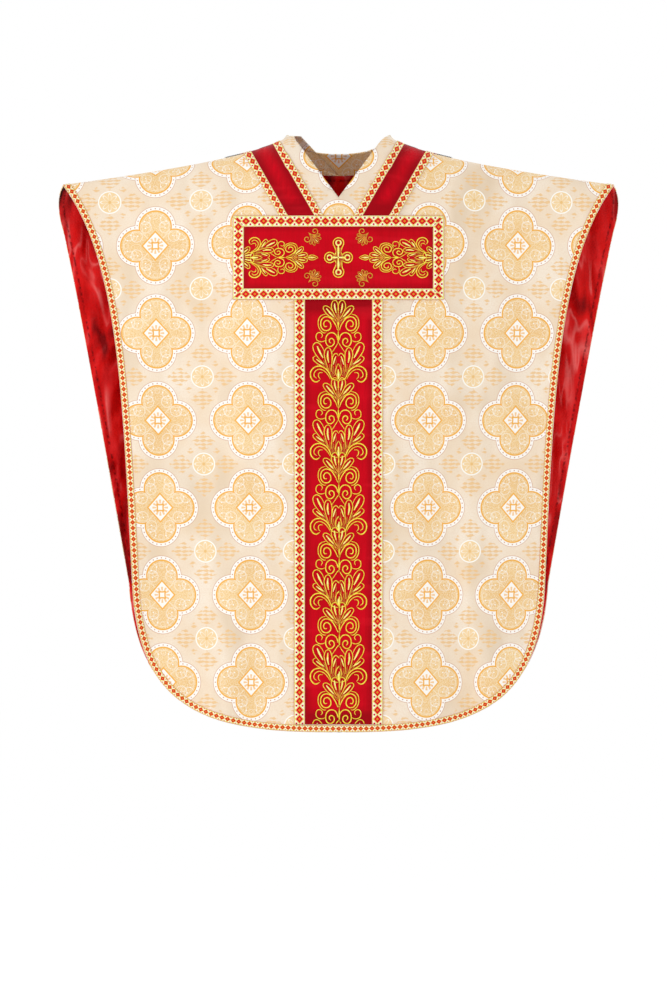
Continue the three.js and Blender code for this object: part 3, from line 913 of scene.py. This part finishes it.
fan = {
    "outline": [
        (1.25, [(1.7, 84), (5, 73), (13.6, 68), (23, 72), (26.7, 82.8), (24.5, 93), (18.4, 97),
                (11, 93.5), (8.8, 87), (12, 81), (17, 80.6), (19.3, 86), (16, 90)]),
        (cord, [(26.5, 84), (35.6, 87), (44.5, 84), (47.2, 76), (43.5, 68.5), (37, 68.6),
                (33.7, 74), (36.5, 79)]),
        (cord, [(0.4, 88.8), (6.5, 99), (14.2, 110.3)]),
        (cord, [(14.6, 150), (13.6, 122), (14.9, 108), (21.9, 99.2), (29.5, 109), (28.5, 122),
                (20, 148)]),
        (cord, [(29.5, 108), (37, 94), (45.6, 88.6), (52.8, 93.5), (52.6, 104), (46, 116),
                (29, 136)]),
        (cord, [(46.5, 115.6), (53.6, 121.5), (48, 130), (38, 136.5), (24, 144)]),
        (1.0, [(0.4, 117), (4.6, 111.5), (10.2, 115), (13.5, 129), (14.5, 150)]),
        (cord, [(0.3, 132.9), (4.8, 143), (5.9, 151.5), (0.6, 165)]),
        (1.4, [(2, 168), (14, 164), (20, 151.5), (31, 141), (44, 138.3), (55.5, 145),
               (58.9, 156), (55, 167), (47, 171.4), (39.5, 167.5)]),
        (0.95, [(17, 165.5), (24, 154), (33, 146.5), (43, 145), (51, 153), (50.5, 160),
                (45.5, 163.5)]),
        (0.95, [(33, 151.8), (40.5, 152.5), (41.8, 160), (38, 165.7)]),
    ],
    "fill": [
        (2.1, [(22, 106), (22.8, 118), (20.5, 131)]),
        (2.2, [(44.8, 96), (40.5, 106), (32.5, 121)]),
        (1.7, [(46.4, 123.4), (39, 129), (30.3, 134)]),
        (1.6, [(5.2, 117.4), (8.2, 125), (11.2, 135)]),
    ],
    "shade": [
        (1.2, [(17.5, 156), (17.5, 145), (18, 134)]),
        (1.2, [(18, 154), (25, 140), (31, 126)]),
        (1.2, [(20, 152), (29, 141), (37, 130)]),
        (1.1, [(15, 158), (11.5, 148), (10, 138)]),
        (1.0, [(14.5, 160), (7.5, 148), (4.5, 124)]),
        (1.0, [(12.5, 160), (7.5, 156), (4, 136)]),
    ],
}
fanStem = {
    "outline": [(1.1, [(0, 57), (0, 68)]), (1.9, [(0, 67), (0, 78), (0, 90)])],
    "fill": [(2.6, [(0, 145), (0, 155), (0, 166)])],
}
bud = {"outline": [(cord, [(0.4, -31), (4, -24), (7.4, -14), (5.5, -6), (1, 1)])],
       "shade": [(1.4, [(3, -2), (3.6, -10), (2.4, -18)])]}
budStem = {"fill": [(1.9, [(0, -24), (0, -14), (0, -2)])]}

# Half of one sprig, in millimetres: from its middle towards the cross, and aside
sprigHalf = {
    "outline": [
        (0.8, [(1, 0.6), (6, 3.4), (11, 3.2), (15.4, 0.3)]),
        (0.8, [(1.5, 2.2), (7.5, 5), (12.5, 8.6), (10, 10.6), (5, 8.6), (0.5, 3.8)]),
        (0.8, [(-0.5, 4), (3.5, 8.6), (5, 13.5), (1.5, 13.6), (-1.2, 8.6)]),
        (0.95, [(-13, 0.6), (-7.5, 2.4), (-2.2, 7.6), (-2.4, 14), (-7, 17), (-12, 14.6),
                (-12, 9.6), (-8, 8), (-6, 11.4)]),
    ],
    "shade": [(1.4, [(-6, 1.6), (0, 3), (8, 6)]), (1.4, [(-5, 2), (-0.5, 6), (2, 11)])],
}
sprigMiddle = {
    "outline": [(1.0, [(-15.4, 0), (-10, 0), (-4, 0)])],
    "fill": [(1.1, [(5, 0), (8, 0), (12, 0)])],
    "shade": [(1.6, [(-8, 0), (0, 0), (5, 0)])],
}
threadKinds = {"outline": 0.0, "fill": 0.0002, "shade": -0.0001}  # and how high each one lies
flatter = 0.62  # laid thread is lower than it is wide


# All the lines of the given halves and their mirror images, with the single lines between them
def wholeMotif(halves, singles):
    lines = {kind: [] for kind in threadKinds}
    for kind in threadKinds:
        for half in halves:
            for width, points in half.get(kind, []):
                lines[kind].append((width, points))
                lines[kind].append((width, [(-aside, along) for aside, along in points]))
        for single in singles:
            lines[kind] += single.get(kind, [])
    return lines


# Lays rounded threads along the given lines, still flat: across, seen height, height
def layThreads(work, lines, place, scale=1):
    middle = sum(layers["goldwork"]) / 2
    for number, (kind, lift) in enumerate(threadKinds.items()):
        curve = bpy.data.curves.new(kind, "CURVE")
        curve.dimensions = "3D"
        curve.bevel_depth = 1
        curve.bevel_resolution = 1
        curve.resolution_u = 3
        curve.use_fill_caps = True
        for width, points in lines.get(kind, []):
            spline = curve.splines.new("BEZIER")
            spline.bezier_points.add(len(points) - 1)
            for i, ((aside, along), knot) in enumerate(zip(points, spline.bezier_points)):
                knot.co = (*place(aside * mm, along * mm), 0)
                knot.handle_left_type = knot.handle_right_type = "AUTO"
                end = i in (0, len(points) - 1)
                knot.radius = width * mm * scale * (0.5 if end else 1)
        holder = newObject(kind, curve)
        graph = bpy.context.evaluated_depsgraph_get()
        mesh = bpy.data.meshes.new_from_object(holder.evaluated_get(graph))
        bpy.data.objects.remove(holder)
        points = meshPoints(mesh)
        if len(points):
            points[:, 2] = middle + lift + points[:, 2] * flatter
            mesh.vertices.foreach_set("co", points.ravel())
            mesh.polygons.foreach_set("material_index", [number] * len(mesh.polygons))
            work.from_mesh(mesh)
        bpy.data.meshes.remove(mesh)


# Cuts off what lies past a line, and closes the ends
def cutOff(work, at, along):
    bmesh.ops.bisect_plane(work, geom=[*work.verts, *work.edges, *work.faces], dist=1e-7,
                           plane_co=at, plane_no=along, clear_outer=True)
    bmesh.ops.holes_fill(work, edges=[edge for edge in work.edges if edge.is_boundary], sides=12)


def goldPiece(panel, name, work, outline=giltCord):
    node = f"{panel['name']}_{name}"
    mesh = newMesh(node, work)
    flat = meshPoints(mesh)
    flat[:, 1] = downCloth(panel, flat[:, 0], flat[:, 1])
    mesh.vertices.foreach_set("co", flat.ravel())
    drapeMesh(mesh, panel)
    finishPiece(node, "thread", mesh, [outline, highlightThread, brownThread])


goldwork = {
    "repeat": 0.1572, "firstGap": 0.005, "gap": 0.0015,
    "sideScale": 112 / 158, "sideStart": 0.065, "sideThread": 0.85,
    "sprigOut": 0.052, "sprigRise": 0.041,
}


def columnGoldwork(panel):
    foot = columnFoot(panel) + goldwork["gap"]
    top = -barBottom - goldwork["gap"]
    work = bmesh.new()
    lines = wholeMotif((palmette, fan), (palmetteStem, fanStem))
    for number in range(math.ceil((top - foot) / goldwork["repeat"])):
        start = top - number * goldwork["repeat"] - (goldwork["firstGap"] if number else 0)
        layThreads(work, lines, lambda aside, along: (aside, start - along))
    cutOff(work, (0, foot, 0), (0, -1, 0))
    goldPiece(panel, "column_goldwork", work)


# The column's motif laid along the bar, with a bud at its inner end, and the start of the next
def sideGoldwork(panel, side, word):
    scale = goldwork["sideScale"]
    work = bmesh.new()
    first = wholeMotif((palmette, fan, bud), (palmetteStem, fanStem, budStem))
    second = wholeMotif((palmette,), (palmetteStem,))
    for start, lines in ((0, first), (goldwork["repeat"], second)):

        def place(aside, along):
            x = side * (goldwork["sideStart"] + scale * (start + along))
            return x, barMiddle + scale * aside

        layThreads(work, lines, place, goldwork["sideThread"])
    end = side * (trim["barHalfWidth"] - trim["barBraid"] - goldwork["gap"])
    cutOff(work, (end, 0, 0), (side, 0, 0))
    goldPiece(panel, f"bar_scroll_{word}", work)


def turned(x, z, angle):
    return x * math.cos(angle) - z * math.sin(angle), x * math.sin(angle) + z * math.cos(angle)


def sprig(panel, side, end, word):
    turn = math.atan2(-end, -side)  # its fan faces the cross

    def place(along, aside):
        x, z = turned(along, aside, turn)
        return side * goldwork["sprigOut"] + x, barMiddle + end * goldwork["sprigRise"] + z

    work = bmesh.new()
    for flip in (1, -1):
        layThreads(work, sprigHalf, lambda along, aside: place(along, flip * aside))
    layThreads(work, sprigMiddle, place)
    goldPiece(panel, f"sprig_{word}", work, darkCord)


# A cross with a round bud at the end of each arm. Sizes are in millimetres.
cross = {
    "width": 60, "height": 84, "arm": 15, "bud": 11.25,
    "budTurn": 0.72 * math.pi,  # from the arm's own direction round to where the bud meets it
    "cord": 1.15, "cordInside": 0.8,  # the cord lies a little inside the cross's edge
    "padding": 2.7, "ring": 5.175, "ringThread": 1.7, "shade": 1.7, "shadeAside": 5.0,
}


# A cord along the edge, a padded stroke in each arm, a ring in each bud, and brown strokes in the
# arms beside the padded stroke, as painted shade of its edges
def crossEmblem(panel):
    cordLine = []
    lines = {kind: [] for kind in threadKinds}
    for quarter, reach in enumerate((cross["width"] / 2, cross["height"] / 2) * 2):
        angle = quarter * math.pi / 2
        middle = reach - cross["bud"]
        corner = [(cross["arm"] / 2, -cross["arm"] / 2)]
        for step in range(-8, 9):
            x, z = turned(cross["bud"], 0, step / 8 * cross["budTurn"])
            corner.append((middle + x, z))
        for x, z in corner:
            shorter = 1 - cross["cordInside"] / math.hypot(x, z)
            cordLine.append(turned(x * shorter, z * shorter, angle))
        ring = [turned(cross["ring"], 0, step * math.pi / 4) for step in range(9)]
        strokes = [
            ("fill", cross["padding"], [(1, 0), (middle / 2, 0), (middle - 0.55 * cross["bud"], 0)]),
            ("fill", cross["ringThread"], [(middle + x, z) for x, z in ring]),
        ]
        # painted shade: brown strokes either side of the padded stroke
        for aside in (-cross["shadeAside"], cross["shadeAside"]):
            outs = (4, middle / 2, middle - 0.9 * cross["bud"])
            strokes.append(("shade", cross["shade"], [(out, aside) for out in outs]))
        for kind, width, points in strokes:
            lines[kind].append((width, [turned(x, z, angle) for x, z in points]))
    lines["outline"].append((cross["cord"], [*cordLine, cordLine[0]]))
    work = bmesh.new()
    layThreads(work, lines, lambda aside, along: (aside, barMiddle + along))
    goldPiece(panel, "cross_emblem", work)


# Creases of the lining, which is cut a little full: how deep each kind is and how often it comes
puckering = {
    "slack": 0.0042, "held": 0.009,  # it is held flat at its edge and along its stitches
    "level": 0.0013, "levelEvery": 0.046,
    "upright": 0.0026, "uprightEvery": 0.044,
    "tight": 0.0007, "tightEvery": 0.013,
}


def puckers(x, z, fromEdge):
    p = puckering
    aside = 0.25 + 0.75 * eased(np.abs(x), 0.15, 0.40)
    stitched = eased(np.abs(fromEdge - liningStitch), 0, p["held"]) * eased(fromEdge, 0, 0.003)
    slant = z + 0.45 * np.abs(x) + 0.016 * np.sin(z / 0.037 + 9 * x)
    level = np.sin(2 * math.pi * slant / p["levelEvery"] + 1.7 * np.sin(x / 0.021))
    across = np.abs(x) + 0.20 * z + 0.018 * np.sin(z / 0.083)
    upright = np.sin(2 * math.pi * across / p["uprightEvery"])
    tight = np.sin(2 * math.pi * slant / p["tightEvery"]) * eased(-fromEdge, -0.022, -0.008)
    depth = p["slack"] + p["level"] * level + p["upright"] * upright + p["tight"] * tight
    return aside * stitched * depth


def clothPieces(panel):
    inset = trim["satinInset"]
    barX, columnX = trim["barHalfWidth"] - inset, trim["columnHalfWidth"] - inset
    strap = (inset, strapSpan - inset)
    columnTop = -barBottom - drape["seamGap"]
    liningOutline = panelOutline(panel, trim["facingWidth"] + drape["seamGap"], trim["liningInset"])
    rows = [  # name, outline, layer, material, slot, size of its cells, puckers
        ("damask", panelOutline(panel, 0, 0), "damask", figuredDamask, "damask", 0.010),
        ("lining", liningOutline, "lining", liningSatin, "lining_satin", 0.007, puckers),
        ("neck_facing", facingOutline(panel), "lining", figuredDamask, "damask", 0.006),
    ]
    for name, outline in (
        ("bar_satin", rectangle(-barX, barX, -trim["barTop"], -barBottom)),
        ("column_satin", rectangle(-columnX, columnX, columnTop, columnFoot(panel))),
        ("strap_satin_left", strapBand(1, *strap)),
        ("strap_satin_right", strapBand(-1, *strap)),
    ):
        rows.append((name, outline, "trim", orphreySatin, "orphrey_satin", 0.010))
    for row in rows:
        piece, flat, area = cutSheet(panel, *row)
        if area < 0.3 * flat[0] * flat[1]:  # a narrow bent strip: its mean length by its span
            flat = (area / flat[0], flat[0])
    print(f"{panel['name']} cloth draped")


# Outer and inner edge of the edge braid, from one shoulder down round the hem to the other
def edgeLines(panel):
    edge = sideLine(panel)
    top = (edge[0][0], edge[0][1] + trim["edgePast"])
    lines = []
    for inset in (trim["edgeInset"], trim["edgeInset"] + trim["edgeWidth"]):
        half = movedAside([top, *edge], inset)
        lines.append([*half, *mirrored(half)[1:]])
    return lines


def braidPieces(panel):
    braidStrip(panel, "edge_braid", *edgeLines(panel), "trim", edgeBraid, turning=True)
    x, w = trim["barHalfWidth"], trim["barBraid"]
    top, bottom = -trim["barTop"], -barBottom
    for word, outer, inner in (("top", top, top - w), ("bottom", bottom, bottom + w)):
        braidStrip(panel, f"bar_braid_{word}", [(-x, outer), (x, outer)],
                   [(-x + w, inner), (x - w, inner)], "overlay", barBraid)
    ends = (bottom - drape["seamGap"], columnFoot(panel))
    columnInside = trim["columnHalfWidth"] - trim["columnBraid"]
    for word, side in (("left", 1), ("right", -1)):
        braidStrip(panel, f"bar_braid_{word}", [(side * x, top), (side * x, bottom)],
                   [(side * (x - w), top - w), (side * (x - w), bottom + w)], "overlay", barBraid)
        outer, inner = [
            [(side * reach, z) for z in ends] for reach in (trim["columnHalfWidth"], columnInside)
        ]
        braidStrip(panel, f"column_braid_{word}", outer, inner, "overlay", columnBraid)
        for part, start, end in (("outer", strapSpan - strapBraidSpan, strapSpan),
                                 ("inner", 0, strapBraidSpan)):
            band = strapBand(side, start, end)
            outer, inner = dense(band[1:3], closed=False), dense([band[0], band[3]], closed=False)
            braidStrip(panel, f"strap_{part}_braid_{word}", outer, inner, "overlay", strapBraid)
    print(f"{panel['name']} braid laid")


def goldPieces(panel):
    columnGoldwork(panel)
    crossEmblem(panel)
    for side, word in ((1, "left"), (-1, "right")):
        sideGoldwork(panel, side, word)
        for end, endWord in ((1, "upper"), (-1, "lower")):
            sprig(panel, side, end, f"{endWord}_{word}")
    print(f"{panel['name']} goldwork laid")


for panel in panels:
    clothPieces(panel)
    braidPieces(panel)
    goldPieces(panel)


# Floor, light and camera, in metres and watts. The camera stands far off, so that the picture
# has almost no perspective.
studio = {
    "floor": -1.78, "floorHalf": 60, "skyLight": 0.92, "aim": (0, 0, -0.65),
    "cameraOut": 45.0, "cameraX": -0.0105, "cameraZ": -0.7665, "viewHeight": 2.10, "sensor": 36.0,
}
lamps = {  # place, size and power
    "keyLight": ((-3.9, -2.2, 1.2), 0.9, 34),
    "fillLight": ((3.4, -3.4, 0.4), 1.2, 6),
    "backLight": ((2.6, 3.2, 1.4), 1.2, 26),
}


# Pale matt paint, which gives off what the sky's light lacks, so that floor and sky are both white
def makeFloor():
    work = bmesh.new()
    bmesh.ops.create_grid(work, x_segments=1, y_segments=1, size=studio["floorHalf"])
    bmesh.ops.translate(work, verts=work.verts, vec=(0, 0, studio["floor"]))
    mesh = newMesh("floor", work)
    paint, _ = newMaterial("paleFloorPaint", {
        "Base Color": linear("FFFFFF"), "Roughness": 0.9, "Specular IOR Level": 0,
        "Emission Color": (1, 1, 1, 1), "Emission Strength": 1 - studio["skyLight"],
    })
    mesh.materials.append(paint)
    newObject("floor", mesh)


def makeStudio():
    makeFloor()
    for name, (place, size, power) in lamps.items():
        light = bpy.data.lights.new(name, "AREA")
        light.size = size
        light.energy = power
        lamp = newObject(name, light)
        lamp.location = place
        lamp.rotation_euler = (Vector(studio["aim"]) - lamp.location).to_track_quat("-Z", "Y").to_euler()
    scene = bpy.context.scene
    scene.world = bpy.data.worlds.new("studioWorld")
    scene.world.use_nodes = True
    tree = scene.world.node_tree
    seen = add("LightPath", tree=tree)  # the sky is quite white only where it is seen
    glow = add("MapRange", seen, 0.0, 1.0, studio["skyLight"], 1.0)
    setInputs(tree.nodes["Background"], {"Color": (1, 1, 1, 1), "Strength": glow})
    scene.view_settings.view_transform = "Standard"
    camera = bpy.data.cameras.new("camera")
    camera.sensor_width = studio["sensor"]
    camera.lens = studio["sensor"] * studio["cameraOut"] / studio["viewHeight"]
    camera.clip_end = 200
    scene.camera = newObject("camera", camera)
    out = -studio["cameraOut"] - 0.7 * front["depth"]
    scene.camera.location = (studio["cameraX"], out, studio["cameraZ"])
    scene.camera.rotation_euler = (math.pi / 2, 0, 0)


makeStudio()
print("studio ready")

bpy.context.view_layer.update()
